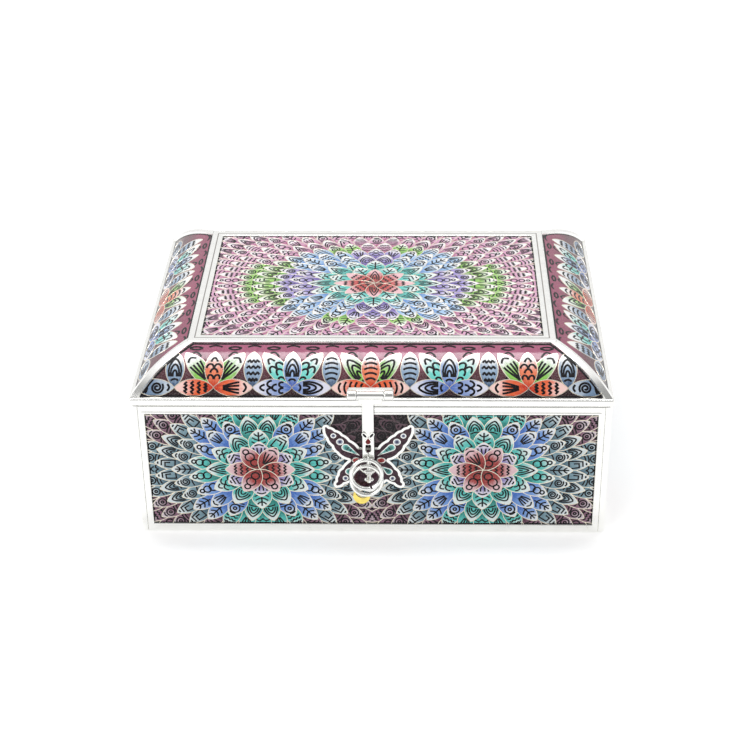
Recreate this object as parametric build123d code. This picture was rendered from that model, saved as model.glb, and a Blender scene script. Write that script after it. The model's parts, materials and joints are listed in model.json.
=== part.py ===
from build123d import *
import math
import os

# Enamelled metal jewelry chest with a hipped lid, back hinges, a front hasp and a pull ring.
# Millimetres. X runs to the right, Y to the back, Z up. The origin is the middle of the rest face.

# Overall sizes
lid_width = 180.0
lid_depth = 136.0
lid_overhang = 0.5
body_height = 57.0
parting_gap = 0.2

# Case floor and walls
felt_thickness = 1.0
felt_inset = 3.5
felt_corner = 3.0
base_thickness = 1.6
wall_thickness = 1.8
frame_lift = 0.5
frame_thickness = 1.6
frame_stile = 2.5
frame_top_rail = 3.4
frame_bottom_rail = 3.5
frame_edge_round = 0.35
post_face = 2.5
post_round = 1.7
post_end_round = 0.6
enamel_thickness = 1.3
enamel_recess = 0.3

# Velvet lining of the case
floor_board_thickness = 1.6
lining_thickness = 1.6
lining_top_drop = 0.8
floor_pad_thickness = 4.2
pad_play = 0.3
pad_round = 1.6

# Lid
rim_height = 3.2
rim_width = 8.0
rim_corner_round = 1.0
rim_edge_round = 0.8
slope_foot_inset = 1.6
slope_head_inset = 20.6
slope_rise = 12.2
slope_radius = 32.0
rib_width = 3.6
rib_proud = 0.8
top_frame_rise = 1.1
top_frame_thickness = 2.5
top_frame_border = 4.6
top_frame_ledge = 2.0
top_frame_round = 0.5
lid_board_thickness = 1.6
lid_board_drop = 0.8
lid_pad_thickness = 3.6
lid_pad_inset = 3.5

# Back hinges
hinge_inset = 40.0
hinge_width = 24.0
hinge_middle_knuckle = 9.4
hinge_knuckle_radius = 1.7
hinge_leaf_thickness = 0.8
hinge_leaf_height = 10.0
hinge_leaf_drop = 0.85
hinge_upper_leaf_rise = 6.0
hinge_pin_radius = 0.7
knuckle_end_gap = 0.3
knuckle_clearance = 0.2
pin_running_clearance = 0.05
pin_fixed_clearance = 0.02
face_clearance = 0.02
cut_margin = 1.0

# Hasp on the front of the lid
latch_shift = -0.95
hasp_axis_rise = 3.2
hasp_axis_reach = 2.2
hasp_leaf_width = 17.2
hasp_leaf_rise = 4.0
hasp_leaf_reach = 0.4
hasp_leaf_depth = 3.2
hasp_leaf_round = 0.8
hasp_lug_drop = 0.85
hasp_lug_root = 1.0
hasp_knuckle_radius = 1.9
hasp_knuckle_length = 3.6
hasp_knuckle_round = 0.6
hasp_barrel_radius = 1.55
hasp_pin_radius = 0.6
hasp_cross_width = 8.8
hasp_cross_drop = 3.4
hasp_cross_round = 0.85
strap_width = 4.4
strap_thickness = 1.2
strap_length = 28.7
strap_foot_round = 1.0
strap_edge_round = 0.3
slot_width = 2.0
slot_length = 3.7
slot_foot_distance = 4.3

# Ornament on the strap: two feeler loops above a drop
feeler_spread = 1.3
feeler_rise = 4.3
feeler_length = 2.9
feeler_width = 1.7
feeler_tilt = 38.0
feeler_wire = 0.4
drop_rise = 1.5
drop_radius = 1.3
drop_length = 3.2
ornament_thickness = 0.6

# Pull ring, its eye and the crescent
ring_shift = -0.8
ring_radius = 5.75
ring_wire = 0.8
ring_turn_drop = 3.1
ring_turn_back = 1.9
ring_lean = 14.0
ring_cut_angle = -70.0
ring_cut_width = 9.0
ring_strap_gap = 0.35
ring_bridge_radius = 0.6
eye_radius = 1.5
eye_wire = 0.35
eye_foot_cover = 0.1
crescent_radius = 3.2
crescent_bite_radius = 2.85
crescent_x = -2.7
crescent_drop = 6.55
crescent_bite_shift_x = 0.45
crescent_bite_shift_z = 1.9
crescent_thickness = 1.0
crescent_gap = 0.1
crescent_ball_radius = 0.75
crescent_ball_angle = 142.0

# Butterfly plate on the front panel
butterfly_span = 34.4
butterfly_waist_rise = -1.1
butterfly_base = 0.5
butterfly_rim_height = 0.6
butterfly_rim_width = 1.0
butterfly_enamel_depth = 0.45
butterfly_cell_height = 0.5

# Turned finial on the butterfly, seen through the ring
knob_drop = 6.2
knob_stem_radius = 0.9
knob_stem_foot = 4.6
knob_stem_head = 9.5
knob_lobe_width = 4.2
knob_lobe_flat = 2.2
knob_lobe_radius = 1.4
knob_lobe_tip_radius = 0.4
knob_bar_width = 3.8
knob_bar_radius = 0.85
knob_bar_drop = 3.5
knob_arm_radius = 0.4
knob_arm_length = 3.2
knob_arm_spread = 2.5
knob_arm_rise = 0.4
knob_arm_tilt = 42.0

# Heights and faces that follow from the sizes above
body_half_width = lid_width / 2 - lid_overhang
body_half_depth = lid_depth / 2 - lid_overhang
wall_half_width = body_half_width - frame_thickness
wall_half_depth = body_half_depth - frame_thickness
inner_half_width = wall_half_width - wall_thickness
inner_half_depth = wall_half_depth - wall_thickness
cavity_half_width = inner_half_width - lining_thickness
cavity_half_depth = inner_half_depth - lining_thickness
base_top = felt_thickness + base_thickness
floor_top = base_top + floor_board_thickness
rim_bottom = body_height + parting_gap
rim_top = rim_bottom + rim_height
slope_head_height = rim_top + slope_rise
top_frame_top = slope_head_height + top_frame_rise
panel_bottom = frame_lift + frame_bottom_rail
panel_top = body_height - frame_top_rail
enamel_face = body_half_depth - enamel_recess
top_half_width = lid_width / 2 - slope_head_inset
top_half_depth = lid_depth / 2 - slope_head_inset
top_ledge_height = top_frame_top - enamel_recess - enamel_thickness
lid_board_bottom = rim_bottom + lid_board_drop
hinge_x = lid_width / 2 - hinge_inset
hinge_axis_y = lid_depth / 2 + knuckle_clearance + hinge_knuckle_radius
hinge_axis_z = body_height + parting_gap / 2
hasp_axis_y = -(lid_depth / 2 + hasp_axis_reach)
hasp_axis_height = rim_top + hasp_axis_rise
hasp_leaf_top = rim_top + hasp_leaf_rise
strap_back = -hasp_axis_y
strap_front = strap_back + strap_thickness
strap_foot_height = hasp_axis_height - strap_length
slot_bottom = strap_foot_height + slot_foot_distance
slot_top = slot_bottom + slot_length
ring_plane = strap_front + ring_strap_gap + ring_wire
ring_x = latch_shift + ring_shift
eye_height = strap_foot_height + eye_radius + eye_wire + eye_foot_cover
ring_centre_z = eye_height - ring_radius
ring_rear_z = ring_centre_z - ring_turn_drop
crescent_z = ring_rear_z - crescent_drop
butterfly_unit = butterfly_span / 2
butterfly_waist_z = strap_foot_height + butterfly_waist_rise
butterfly_field = enamel_face + butterfly_base + butterfly_enamel_depth


def block(x0, x1, y0, y1, z0, z1):
    """A box between two corners."""
    centre = Pos((x0 + x1) / 2, (y0 + y1) / 2, (z0 + z1) / 2)
    return centre * Box(abs(x1 - x0), abs(y1 - y0), abs(z1 - z0))


def slab(half_x, half_y, z0, z1):
    """A box centred on the Z axis."""
    return block(-half_x, half_x, -half_y, half_y, z0, z1)


def on_front(sketch, stand_off, thickness):
    """Extrude an X-Z sketch towards the front, from a distance in front of the middle."""
    return extrude(Plane.XZ.offset(stand_off) * sketch, thickness)


def along_x(x0, x1, y, z, radius):
    """A round bar along X."""
    return Pos((x0 + x1) / 2, y, z) * Rot(0, 90, 0) * Cylinder(radius, abs(x1 - x0))


def edges_near_height(shape, z, test):
    return [e for e in shape.edges() if abs(e.center().Z - z) < 0.001 and test(e.center())]


# Case

def make_base_felt():
    half_x = body_half_width - felt_inset
    half_y = body_half_depth - felt_inset
    felt = slab(half_x, half_y, 0, felt_thickness)
    return fillet(felt.edges().filter_by(Axis.Z), felt_corner)


def make_base_plate():
    return slab(wall_half_width, wall_half_depth, felt_thickness, base_top)


def make_wall(side):
    if side in ("front", "back"):
        sign = -1 if side == "front" else 1
        return block(-wall_half_width, wall_half_width, sign * inner_half_depth,
                     sign * wall_half_depth, base_top, body_height)
    sign = -1 if side == "left" else 1
    return block(sign * inner_half_width, sign * wall_half_width, -inner_half_depth,
                 inner_half_depth, base_top, body_height)


def panel_frame(half_length, face):
    """A flat frame round an enamel panel, standing in the X-Z plane with its front at -face."""
    inner = half_length - frame_stile
    frame = block(-half_length, half_length, -face, -(face - frame_thickness), frame_lift, body_height)
    front_edges = [e for e in frame.edges() if abs(e.center().Y + face) < 0.001]
    frame = fillet(front_edges, frame_edge_round)
    window = block(-inner, inner, -face - cut_margin, -(face - frame_thickness) + cut_margin,
                   panel_bottom, panel_top)
    return frame - window


def make_panel_frame(side):
    if side in ("front", "back"):
        frame = panel_frame(body_half_width - post_face, body_half_depth)
        return frame if side == "front" else Rot(0, 0, 180) * frame
    frame = panel_frame(body_half_depth - post_face, body_half_width)
    return Rot(0, 0, -90 if side == "left" else 90) * frame


def panel_plate(half_length, face):
    inner = half_length - frame_stile
    back = face - frame_thickness
    return block(-inner, inner, -(face - enamel_recess), -back, panel_bottom, panel_top)


def make_panel_enamel(side):
    if side in ("front", "back"):
        plate = panel_plate(body_half_width - post_face, body_half_depth)
        return plate if side == "front" else Rot(0, 0, 180) * plate
    plate = panel_plate(body_half_depth - post_face, body_half_width)
    return Rot(0, 0, -90 if side == "left" else 90) * plate


def make_corner_post(sign_x, sign_y):
    """An L-shaped corner bead that wraps the meeting walls."""
    x_out = body_half_width
    y_out = body_half_depth
    post = block(x_out - post_face, x_out, y_out - post_face, y_out, frame_lift, body_height)
    outer = [e for e in post.edges().filter_by(Axis.Z)
             if abs(e.center().X - x_out) < 0.001 and abs(e.center().Y - y_out) < 0.001]
    post = fillet(outer, post_round)
    foot = edges_near_height(post, frame_lift,
                             lambda c: c.X > x_out - post_round and c.Y > y_out - post_round)
    post = fillet(foot, post_end_round)
    notch = block(0, wall_half_width, 0, wall_half_depth, 0, body_height + cut_margin)
    post = post - notch
    if sign_x < 0:
        post = mirror(post, Plane.YZ)
    if sign_y < 0:
        post = mirror(post, Plane.XZ)
    return post


# Lining

def make_floor_board():
    return slab(inner_half_width, inner_half_depth, base_top, floor_top)


def make_lining(side):
    top = body_height - lining_top_drop
    if side in ("front", "back"):
        sign = -1 if side == "front" else 1
        return block(-inner_half_width, inner_half_width, sign * cavity_half_depth,
                     sign * inner_half_depth, floor_top, top)
    sign = -1 if side == "left" else 1
    return block(sign * cavity_half_width, sign * inner_half_width, -cavity_half_depth,
                 cavity_half_depth, floor_top, top)


def make_floor_pad():
    top = floor_top + floor_pad_thickness
    pad = slab(cavity_half_width - pad_play, cavity_half_depth - pad_play, floor_top, top)
    pad = fillet(pad.edges().filter_by(Axis.Z), pad_round)
    return fillet(pad.faces().sort_by(Axis.Z)[-1].edges(), pad_round)


# Lid slope: an arc from the rim to the top frame, shared by panels, ribs and hinge leaves

def slope_circle():
    """Centre of the slope's arc, as (distance in from the lid's edge, height)."""
    run = slope_head_inset - slope_foot_inset
    rise = slope_head_height - rim_top
    chord = math.hypot(run, rise)
    reach = math.sqrt(slope_radius ** 2 - (chord / 2) ** 2)
    middle_inset = (slope_foot_inset + slope_head_inset) / 2
    middle_height = (rim_top + slope_head_height) / 2
    return middle_inset + rise / chord * reach, middle_height - run / chord * reach


def slope_height(inset, proud):
    """Height of the slope's face, raised by proud, at a distance in from the lid's edge."""
    centre_inset, centre_height = slope_circle()
    radius = slope_radius + proud
    return centre_height + math.sqrt(radius ** 2 - (inset - centre_inset) ** 2)


def slope_inset(height, proud):
    """Distance in from the lid's edge at which the slope's face reaches a height."""
    centre_inset, centre_height = slope_circle()
    radius = slope_radius + proud
    return centre_inset - math.sqrt(radius ** 2 - (height - centre_height) ** 2)


def hip_section(half_span, proud):
    """Section of the lid across one direction, from the rim's top up to the slope."""
    foot = half_span - slope_inset(rim_top, proud)
    head = half_span - slope_head_inset
    head_height = slope_height(slope_head_inset, proud)
    middle_inset = (slope_inset(rim_top, proud) + slope_head_inset) / 2
    middle = half_span - middle_inset
    middle_height = slope_height(middle_inset, proud)
    outline = Line((-foot, rim_top), (foot, rim_top))
    outline += ThreePointArc((foot, rim_top), (middle, middle_height), (head, head_height))
    outline += Line((head, head_height), (-head, head_height))
    outline += ThreePointArc((-head, head_height), (-middle, middle_height), (-foot, rim_top))
    return make_face(outline)


def hip_solid(proud):
    """Everything under the lid's slopes and above the rim."""
    across = extrude(Plane.XZ * hip_section(lid_width / 2, proud), lid_depth, both=True)
    along = extrude(Plane.YZ * hip_section(lid_depth / 2, proud), lid_width, both=True)
    return across & along


def top_opening():
    """The place of the top frame, with everything above its underside and below it."""
    return slab(top_half_width, top_half_depth, rim_bottom, top_frame_top + rim_height)


def mitre_slab(sign_x, sign_y):
    angle = 45 if sign_x * sign_y > 0 else -45
    length = 4 * slope_head_inset
    corner = Pos(sign_x * lid_width / 2, sign_y * lid_depth / 2, top_frame_top)
    return corner * Rot(0, 0, angle) * Box(length, rib_width, 4 * rim_top)


CORNERS = {
    "front_left": (-1, -1),
    "front_right": (1, -1),
    "back_left": (-1, 1),
    "back_right": (1, 1),
}
SIDES = ("front", "back", "left", "right")


def make_lid_panels():
    shell = hip_solid(0) - hip_solid(-enamel_thickness) - top_opening()
    for signs in CORNERS.values():
        shell = shell - mitre_slab(*signs)
    solids = shell.solids()
    return {
        "front": solids.sort_by(Axis.Y)[0],
        "back": solids.sort_by(Axis.Y)[-1],
        "left": solids.sort_by(Axis.X)[0],
        "right": solids.sort_by(Axis.X)[-1],
    }


def make_lid_ribs():
    shell = hip_solid(rib_proud) - hip_solid(-enamel_thickness) - top_opening()
    return {name: shell & mitre_slab(*signs) for name, signs in CORNERS.items()}


def make_lid_rim():
    half_x = lid_width / 2
    half_y = lid_depth / 2
    rim = slab(half_x, half_y, rim_bottom, rim_top)
    rim = fillet(rim.edges().filter_by(Axis.Z), rim_corner_round)
    rim = fillet(rim.faces().sort_by(Axis.Z)[-1].edges(), rim_edge_round)
    rim = fillet(rim.faces().sort_by(Axis.Z)[0].edges(), rim_edge_round)
    return rim - slab(half_x - rim_width, half_y - rim_width, rim_bottom - cut_margin, rim_top + cut_margin)


def make_top_frame():
    bottom = top_frame_top - top_frame_thickness
    frame = slab(top_half_width, top_half_depth, bottom, top_frame_top)
    frame = fillet(frame.faces().sort_by(Axis.Z)[-1].edges(), top_frame_round)
    window_x = top_half_width - top_frame_border
    window_y = top_half_depth - top_frame_border
    frame = frame - slab(window_x, window_y, top_ledge_height, top_frame_top + cut_margin)
    ledge = top_frame_ledge
    return frame - slab(window_x - ledge, window_y - ledge, bottom - cut_margin, top_ledge_height)


def make_top_enamel():
    window_x = top_half_width - top_frame_border
    window_y = top_half_depth - top_frame_border
    return slab(window_x, window_y, top_ledge_height, top_ledge_height + enamel_thickness)


def make_lid_board():
    half_x = lid_width / 2 - rim_width
    half_y = lid_depth / 2 - rim_width
    return slab(half_x, half_y, lid_board_bottom, lid_board_bottom + lid_board_thickness)


def make_lid_pad():
    half_x = lid_width / 2 - rim_width - lid_pad_inset
    half_y = lid_depth / 2 - rim_width - lid_pad_inset
    pad = slab(half_x, half_y, lid_board_bottom - lid_pad_thickness, lid_board_bottom)
    pad = fillet(pad.edges().filter_by(Axis.Z), pad_round)
    return fillet(pad.faces().sort_by(Axis.Z)[0].edges(), pad_round)


# Back hinges

def hinge_bore(x, radius):
    half = hinge_width
    return along_x(x - half, x + half, hinge_axis_y, hinge_axis_z, radius)


def make_lower_leaf(x):
    """Leaf on the back of the case, with the two outer knuckles."""
    half = hinge_width / 2
    inner = hinge_middle_knuckle / 2 + knuckle_end_gap
    face = body_half_depth
    top = hinge_axis_z - hinge_leaf_drop
    leaf = block(x - half, x + half, face, face + hinge_leaf_thickness, top - hinge_leaf_height, top)
    low_corners = [e for e in leaf.edges().filter_by(Axis.Y) if e.center().Z < top - hinge_leaf_height / 2]
    leaf = fillet(low_corners, hinge_knuckle_radius)
    for x0, x1 in ((x - half, x - inner), (x + inner, x + half)):
        web_bottom = hinge_axis_z - hinge_knuckle_radius
        leaf = leaf + along_x(x0, x1, hinge_axis_y, hinge_axis_z, hinge_knuckle_radius)
        leaf = leaf + block(x0, x1, face, hinge_axis_y, web_bottom, top)
    relief = along_x(x - inner, x + inner, hinge_axis_y, hinge_axis_z,
                     hinge_knuckle_radius + knuckle_clearance)
    return leaf - relief - hinge_bore(x, hinge_pin_radius + pin_fixed_clearance)


def make_upper_leaf(x):
    """Leaf on the back slope of the lid, brought down over the rim to the middle knuckle."""
    half = hinge_width / 2
    mid = hinge_middle_knuckle / 2
    rim_face = lid_depth / 2
    band = hip_solid(hinge_leaf_thickness) - hip_solid(0)
    leaf = band & block(x - half, x + half, top_half_depth, lid_depth, rim_top, rim_top + hinge_upper_leaf_rise)
    strip_y = rim_face + knuckle_clearance + hinge_leaf_thickness
    strip = block(x - mid, x + mid, rim_face + face_clearance, strip_y, hinge_axis_z,
                  rim_top + hinge_leaf_thickness)
    bridge = block(x - mid, x + mid, rim_face - slope_foot_inset, strip_y, rim_top + face_clearance,
                   rim_top + hinge_leaf_thickness)
    knuckle = along_x(x - mid, x + mid, hinge_axis_y, hinge_axis_z, hinge_knuckle_radius)
    bridge = bridge - hip_solid(0)
    return leaf + bridge + strip + knuckle - hinge_bore(x, hinge_pin_radius + pin_running_clearance)


def make_hinge_pin(x):
    half = hinge_width / 2
    return along_x(x - half, x + half, hinge_axis_y, hinge_axis_z, hinge_pin_radius)


# Hasp

def make_hasp_leaf():
    """Rounded bar on the foot of the lid's front slope, with the two end knuckles."""
    half = hasp_leaf_width / 2
    inner = half - hasp_knuckle_length
    bar_front = -(lid_depth / 2 + hasp_leaf_reach)
    body = block(-half, half, bar_front, bar_front + hasp_leaf_depth, rim_top + face_clearance, hasp_leaf_top)
    body = fillet(edges_near_height(body, hasp_leaf_top, lambda c: True), hasp_leaf_round)
    for x0, x1 in ((-half, -inner), (inner, half)):
        knuckle = along_x(x0, x1, hasp_axis_y, hasp_axis_height, hasp_knuckle_radius)
        rims = [e for e in knuckle.edges() if e.geom_type == GeomType.CIRCLE]
        body = body + fillet(rims, hasp_knuckle_round)
        body = body + block(x0, x1, hasp_axis_y, bar_front + hasp_lug_root, hasp_axis_height - hasp_lug_drop,
                            hasp_leaf_top)
    bore = along_x(-half - cut_margin, half + cut_margin, hasp_axis_y, hasp_axis_height,
                   hasp_pin_radius + pin_fixed_clearance)
    return body - hip_solid(0) - bore


def make_hasp_pin():
    half = hasp_leaf_width / 2
    return along_x(-half, half, hasp_axis_y, hasp_axis_height, hasp_pin_radius)


def strap_sketch():
    """Front view of the strap: a wide cross-piece, the bar and its rounded foot."""
    cross_bottom = hasp_axis_height - hasp_cross_drop
    cross = Pos(0, (hasp_axis_height + cross_bottom) / 2) * Rectangle(hasp_cross_width, hasp_cross_drop)
    cross = fillet(cross.vertices().group_by(Axis.Y)[0], hasp_cross_round)
    bar = Pos(latch_shift, hasp_axis_height - strap_length / 2) * Rectangle(strap_width, strap_length)
    bar = fillet(bar.vertices().group_by(Axis.Y)[0], strap_foot_round)
    slot_middle = (slot_bottom + slot_top) / 2
    slot = Pos(latch_shift, slot_middle) * Rot(0, 0, 90) * SlotOverall(slot_length, slot_width)
    return cross + bar - slot


def make_hasp_strap():
    half = hasp_leaf_width / 2 - hasp_knuckle_length - knuckle_end_gap
    strap = on_front(strap_sketch(), strap_back, strap_thickness)
    front_edges = [e for e in strap.edges() if abs(e.center().Y + strap_front) < 0.001]
    strap = fillet(front_edges, strap_edge_round)
    barrel = along_x(-half, half, hasp_axis_y, hasp_axis_height, hasp_barrel_radius)
    bore = along_x(-half - cut_margin, half + cut_margin, hasp_axis_y, hasp_axis_height,
                   hasp_pin_radius + pin_running_clearance)
    return strap + barrel - bore


def drop_sketch(length, radius):
    """A drop: a round end at the origin and a point at the top."""
    reach = length - radius
    touch = math.acos(radius / reach)
    right = (radius * math.sin(touch), radius * math.cos(touch))
    left = (-right[0], right[1])
    outline = Line(right, (0, reach)) + Line((0, reach), left)
    outline += ThreePointArc(left, (0, -radius), right)
    return make_face(outline)


def make_hasp_ornament():
    outer = Ellipse(feeler_width / 2, feeler_length / 2)
    loop = outer - Ellipse(feeler_width / 2 - feeler_wire, feeler_length / 2 - feeler_wire)
    right = Pos(latch_shift + feeler_spread, slot_top + feeler_rise) * Rot(0, 0, -feeler_tilt) * loop
    left = Pos(latch_shift - feeler_spread, slot_top + feeler_rise) * Rot(0, 0, feeler_tilt) * loop
    drop = Pos(latch_shift, slot_top + drop_rise) * drop_sketch(drop_length, drop_radius)
    return on_front(right + left + drop, strap_front, ornament_thickness)


def make_ring_eye():
    """A bent wire eye on the foot of the strap, in a plane across the ring's wire."""
    start = (latch_shift, -strap_front, eye_height + eye_radius)
    top = (latch_shift, -ring_plane, eye_height + eye_radius)
    nose = (latch_shift, -(ring_plane + eye_radius), eye_height)
    low = (latch_shift, -ring_plane, eye_height - eye_radius)
    end = (latch_shift, -strap_front, eye_height - eye_radius)
    path = Line(start, top) + ThreePointArc(top, nose, low) + Line(low, end)
    profile = Plane(origin=start, z_dir=(0, -1, 0)) * Circle(eye_wire)
    return sweep(profile, path=path)


# Pull ring and crescent

def lean_out(shape):
    """Turn a shape about the eye, so that its foot stands out from the case."""
    return shape.rotate(Axis((0, -ring_plane, eye_height), (-1, 0, 0)), ring_lean)


def ring_turn(plane_distance, centre_z, first_angle, sweep_angle):
    """Part of a turn of the ring's wire, in a plane square to Y."""
    wire_section = Plane.XY * Pos(ring_radius, 0) * Circle(ring_wire)
    turn = revolve(wire_section, Axis.Y, sweep_angle)
    return Pos(ring_x, -plane_distance, centre_z) * Rot(0, -first_angle, 0) * turn


def make_pull_ring():
    cut = ring_cut_width
    front = ring_turn(ring_plane, ring_centre_z, ring_cut_angle - cut / 2, 360 - cut)
    rear_plane = ring_plane - ring_turn_back
    rear = Pos(ring_x, -rear_plane, ring_rear_z) * Rot(90, 0, 0) * Torus(ring_radius, ring_wire)
    cross_x = ring_x + math.sqrt(ring_radius ** 2 - (ring_turn_drop / 2) ** 2)
    cross_z = ring_centre_z - ring_turn_drop / 2
    bridge = Pos(cross_x, -(ring_plane + rear_plane) / 2, cross_z) * Rot(90, 0, 0) * Cylinder(
        ring_bridge_radius, ring_turn_back)
    return lean_out(front + rear + bridge)


def make_crescent():
    middle_x = latch_shift + crescent_x
    moon = Pos(middle_x, crescent_z) * Circle(crescent_radius)
    bite = Pos(middle_x + crescent_bite_shift_x, crescent_z + crescent_bite_shift_z)
    moon = moon - bite * Circle(crescent_bite_radius)
    front = ring_plane - ring_turn_back - ring_wire - crescent_gap
    back = front - crescent_thickness
    body = on_front(moon, back, crescent_thickness)
    angle = math.radians(crescent_ball_angle)
    ball_x = middle_x + (crescent_radius - crescent_ball_radius / 2) * math.cos(angle)
    ball_z = crescent_z + (crescent_radius - crescent_ball_radius / 2) * math.sin(angle)
    ball = on_front(Pos(ball_x, ball_z) * Circle(crescent_ball_radius), back, crescent_thickness)
    return lean_out(body + ball)


# Butterfly

# Points of the right wing's outline, in half spans from the middle of the waist. The lobes of its edge and
# the rounded ends of the wings are arcs, each given by a middle and an end point.
NECK_MIDDLE = (0, 0.329)
NECK_SIDE = (0.203, 0.338)
WING_ARCS = (
    ((0.29, 0.452), (0.396, 0.527)),
    ((0.469, 0.62), (0.556, 0.676)),
    ((0.626, 0.752), (0.71, 0.787)),
    ((0.773, 0.845), (0.845, 0.87)),
    ((0.942, 0.913), (0.995, 0.812)),
    ((0.981, 0.681), (0.923, 0.556)),
    ((0.884, 0.452), (0.807, 0.362)),
    ((0.773, 0.266), (0.7, 0.184)),
    ((0.589, 0.068), (0.442, 0.0)),
    ((0.536, -0.092), (0.604, -0.198)),
    ((0.676, -0.271), (0.7, -0.372)),
    ((0.739, -0.449), (0.744, -0.541)),
    ((0.785, -0.657), (0.715, -0.729)),
    ((0.623, -0.705), (0.541, -0.633)),
    ((0.462, -0.604), (0.386, -0.556)),
    ((0.3, -0.638), (0.232, -0.696)),
    ((0.126, -0.792), (0.0, -0.831)),
)


def wing_point(point):
    return (point[0] * butterfly_unit, butterfly_waist_z + point[1] * butterfly_unit)


def both_wings(half):
    """A sketch of the right wing and its mirror image, at the butterfly's place."""
    return Pos(latch_shift, 0) * (half + mirror(half, Plane.YZ))


def butterfly_sketch():
    """Outline of the plate."""
    here = wing_point(NECK_SIDE)
    outline = Line(wing_point(NECK_MIDDLE), here)
    for middle, end in WING_ARCS:
        outline += ThreePointArc(here, wing_point(middle), wing_point(end))
        here = wing_point(end)
    outline += Line(here, wing_point(NECK_MIDDLE))
    return both_wings(make_face(outline))


def make_butterfly_plate():
    outline = butterfly_sketch()
    plate = on_front(outline, enamel_face, butterfly_base + butterfly_rim_height)
    field = offset(outline, amount=-butterfly_rim_width)
    return plate - on_front(field, enamel_face + butterfly_base, butterfly_rim_height + cut_margin)


def make_butterfly_enamel():
    field = offset(butterfly_sketch(), amount=-butterfly_rim_width)
    return on_front(field, enamel_face + butterfly_base, butterfly_enamel_depth)


# Cells of the right wing, in half spans: round ones as (middle, radius), drops as (tip, end, radius)
ROUND_CELLS = (
    ((0.762, 0.643), 0.055),
    ((0.62, 0.488), 0.075),
    ((0.517, -0.464), 0.056),
)
DROP_CELLS = (
    ((0.21, 0.144), (0.501, 0.344), 0.082),
    ((0.282, -0.155), (0.438, -0.288), 0.075),
)
WAIST_CELL = ((0.272, 0.008), 0.09, 0.066)


def drop_between(tip, end, radius):
    """A drop whose point is at tip and whose round end is at end."""
    length = math.dist(tip, end) + radius
    angle = math.degrees(math.atan2(tip[1] - end[1], tip[0] - end[0])) - 90
    return Pos(*end) * Rot(0, 0, angle) * drop_sketch(length, radius)


def make_butterfly_cells():
    """Small raised cells of the wings, six on each side."""
    middle, half_length, half_height = WAIST_CELL
    half = [Pos(*wing_point(middle)) * Ellipse(half_length * butterfly_unit, half_height * butterfly_unit)]
    for middle, radius in ROUND_CELLS:
        half.append(Pos(*wing_point(middle)) * Circle(radius * butterfly_unit))
    for tip, end, radius in DROP_CELLS:
        half.append(drop_between(wing_point(tip), wing_point(end), radius * butterfly_unit))
    solids = []
    for cell in half:
        solid = on_front(cell, butterfly_field, butterfly_cell_height)
        solids.append(Pos(latch_shift, 0, 0) * solid)
        solids.append(Pos(latch_shift, 0, 0) * mirror(solid, Plane.YZ))
    return Compound([s.solid() for s in solids])


def make_catch_knob():
    """Front half of a turned finial on the middle of the butterfly: a lobe, a bar, a stem and two arms."""
    middle_z = strap_foot_height - knob_drop
    bar_z = middle_z - knob_bar_drop
    depth = -butterfly_field
    tip = (knob_lobe_width - knob_lobe_flat) / 2
    bar_end = knob_bar_width / 2 - knob_bar_radius
    stem_z = middle_z + (knob_stem_head - knob_stem_foot) / 2
    shape = Pos(0, depth, stem_z) * Cylinder(knob_stem_radius, knob_stem_head + knob_stem_foot)
    shape = shape + along_x(-knob_lobe_flat / 2, knob_lobe_flat / 2, depth, middle_z, knob_lobe_radius)
    shape = shape + along_x(-bar_end, bar_end, depth, bar_z, knob_bar_radius)
    for side in (-1, 1):
        cone = Rot(0, side * 90, 0) * Cone(knob_lobe_radius, knob_lobe_tip_radius, tip)
        shape = shape + Pos(side * (knob_lobe_flat + tip) / 2, depth, middle_z) * cone
        shape = shape + Pos(side * bar_end, depth, bar_z) * Sphere(knob_bar_radius)
        arm = Rot(0, 90 - side * knob_arm_tilt, 0) * Cylinder(knob_arm_radius, knob_arm_length)
        shape = shape + Pos(side * knob_arm_spread, depth, middle_z + knob_arm_rise) * arm
    front = block(-knob_lobe_width, knob_lobe_width, depth, depth - knob_lobe_width,
                  middle_z - knob_stem_head, middle_z + knob_stem_head)
    return Pos(latch_shift, 0, 0) * (shape & front)


# All pieces

def make_pieces():
    pieces = {
        "base_felt": make_base_felt(),
        "base_plate": make_base_plate(),
        "floor_board": make_floor_board(),
        "floor_pad": make_floor_pad(),
        "lid_rim": make_lid_rim(),
        "lid_top_frame": make_top_frame(),
        "lid_top_enamel": make_top_enamel(),
        "lid_inner_board": make_lid_board(),
        "lid_pad": make_lid_pad(),
        "hasp_leaf": make_hasp_leaf(),
        "hasp_pin": make_hasp_pin(),
        "hasp_strap": make_hasp_strap(),
        "hasp_ornament": make_hasp_ornament(),
        "ring_eye": make_ring_eye(),
        "pull_ring": make_pull_ring(),
        "crescent_charm": make_crescent(),
        "butterfly_plate": make_butterfly_plate(),
        "butterfly_enamel": make_butterfly_enamel(),
        "butterfly_cells": make_butterfly_cells(),
        "catch_knob": make_catch_knob(),
    }
    panels = make_lid_panels()
    for side in SIDES:
        pieces[side + "_wall"] = make_wall(side)
        pieces[side + "_panel_frame"] = make_panel_frame(side)
        pieces[side + "_enamel"] = make_panel_enamel(side)
        pieces[side + "_lining"] = make_lining(side)
        pieces["lid_" + side + "_enamel"] = panels[side]
    ribs = make_lid_ribs()
    for corner, signs in CORNERS.items():
        pieces["corner_post_" + corner] = make_corner_post(*signs)
        pieces["lid_rib_" + corner] = ribs[corner]
    for name, x in (("left", -hinge_x), ("right", hinge_x)):
        pieces["hinge_" + name + "_lower_leaf"] = make_lower_leaf(x)
        pieces["hinge_" + name + "_upper_leaf"] = make_upper_leaf(x)
        pieces["hinge_" + name + "_pin"] = make_hinge_pin(x)
    return pieces


os.makedirs("parts", exist_ok=True)
for piece_name, piece in make_pieces().items():
    export_step(piece, "parts/" + piece_name + ".step")
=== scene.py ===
import json
import math

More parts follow.
